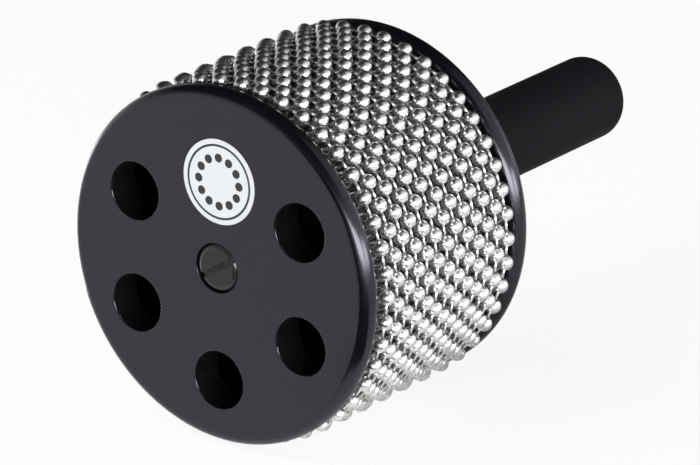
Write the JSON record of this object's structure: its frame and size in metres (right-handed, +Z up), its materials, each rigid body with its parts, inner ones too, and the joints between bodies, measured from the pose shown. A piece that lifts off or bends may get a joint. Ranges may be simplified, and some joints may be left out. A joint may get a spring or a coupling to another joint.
{
  "type": "cabasa",
  "caption": "Hand percussion drum: ribbed steel cylinder wrapped in loose ball-chain loops between two round end discs with sound holes, on a straight round handle.",
  "frame": {"origin": "on the table plane under the lowest beads, at the middle of the overall length and width", "axes": "+Y along the drum's axis from the sound-hole face to the handle's end, +Z up with the solid place of the front disc on top, +X to the right as seen from the front"},
  "size_m": [0.1132, 0.195, 0.1131],
  "materials": {
    "black_lacquer": "satin black lacquer on fibreboard",
    "shell_steel": "plain ribbed sheet",
    "chain_nickel": "polished nickel plate on steel",
    "core_wood": "black-stained turned hardwood",
    "grip_rubber": "matt black",
    "screw_black": "black zinc",
    "insert_brass": "plain"
  },
  "bodies": {
    "drum": {"front_disc": "black_lacquer", "rear_disc": "black_lacquer", "drum_shell": "shell_steel", "handle_core": "core_wood", "grip_sleeve": "grip_rubber", "front_screw": "screw_black", "threaded_insert": "insert_brass"},
    "chain_01": {"bead_loop_01": "chain_nickel"},
    "chain_02": {"bead_loop_02": "chain_nickel"},
    "chain_03": {"bead_loop_03": "chain_nickel"},
    "chain_04": {"bead_loop_04": "chain_nickel"},
    "chain_05": {"bead_loop_05": "chain_nickel"},
    "chain_06": {"bead_loop_06": "chain_nickel"},
    "chain_07": {"bead_loop_07": "chain_nickel"},
    "chain_08": {"bead_loop_08": "chain_nickel"},
    "chain_09": {"bead_loop_09": "chain_nickel"},
    "chain_10": {"bead_loop_10": "chain_nickel"},
    "chain_11": {"bead_loop_11": "chain_nickel"},
    "chain_12": {"bead_loop_12": "chain_nickel"},
    "chain_13": {"bead_loop_13": "chain_nickel"}
  },
  "joints": [
    {"name": "chain_01_turn", "type": "hinge", "parent": "drum", "child": "chain_01", "pos_m": [0, -0.08731, 0.05653], "axis": [0, 1, 0], "continuous": true},
    {"name": "chain_02_turn", "type": "hinge", "parent": "drum", "child": "chain_02", "pos_m": [0, -0.08235, 0.05653], "axis": [0, 1, 0], "continuous": true},
    {"name": "chain_03_turn", "type": "hinge", "parent": "drum", "child": "chain_03", "pos_m": [0, -0.07739, 0.05653], "axis": [0, 1, 0], "continuous": true},
    {"name": "chain_04_turn", "type": "hinge", "parent": "drum", "child": "chain_04", "pos_m": [0, -0.07243, 0.05653], "axis": [0, 1, 0], "continuous": true},
    {"name": "chain_05_turn", "type": "hinge", "parent": "drum", "child": "chain_05", "pos_m": [0, -0.06747, 0.05653], "axis": [0, 1, 0], "continuous": true},
    {"name": "chain_06_turn", "type": "hinge", "parent": "drum", "child": "chain_06", "pos_m": [0, -0.06251, 0.05653], "axis": [0, 1, 0], "continuous": true},
    {"name": "chain_07_turn", "type": "hinge", "parent": "drum", "child": "chain_07", "pos_m": [0, -0.05755, 0.05653], "axis": [0, 1, 0], "continuous": true},
    {"name": "chain_08_turn", "type": "hinge", "parent": "drum", "child": "chain_08", "pos_m": [0, -0.05259, 0.05653], "axis": [0, 1, 0], "continuous": true},
    {"name": "chain_09_turn", "type": "hinge", "parent": "drum", "child": "chain_09", "pos_m": [0, -0.04763, 0.05653], "axis": [0, 1, 0], "continuous": true},
    {"name": "chain_10_turn", "type": "hinge", "parent": "drum", "child": "chain_10", "pos_m": [0, -0.04267, 0.05653], "axis": [0, 1, 0], "continuous": true},
    {"name": "chain_11_turn", "type": "hinge", "parent": "drum", "child": "chain_11", "pos_m": [0, -0.03771, 0.05653], "axis": [0, 1, 0], "continuous": true},
    {"name": "chain_12_turn", "type": "hinge", "parent": "drum", "child": "chain_12", "pos_m": [0, -0.03275, 0.05653], "axis": [0, 1, 0], "continuous": true},
    {"name": "chain_13_turn", "type": "hinge", "parent": "drum", "child": "chain_13", "pos_m": [0, -0.02779, 0.05653], "axis": [0, 1, 0], "continuous": true}
  ]
}
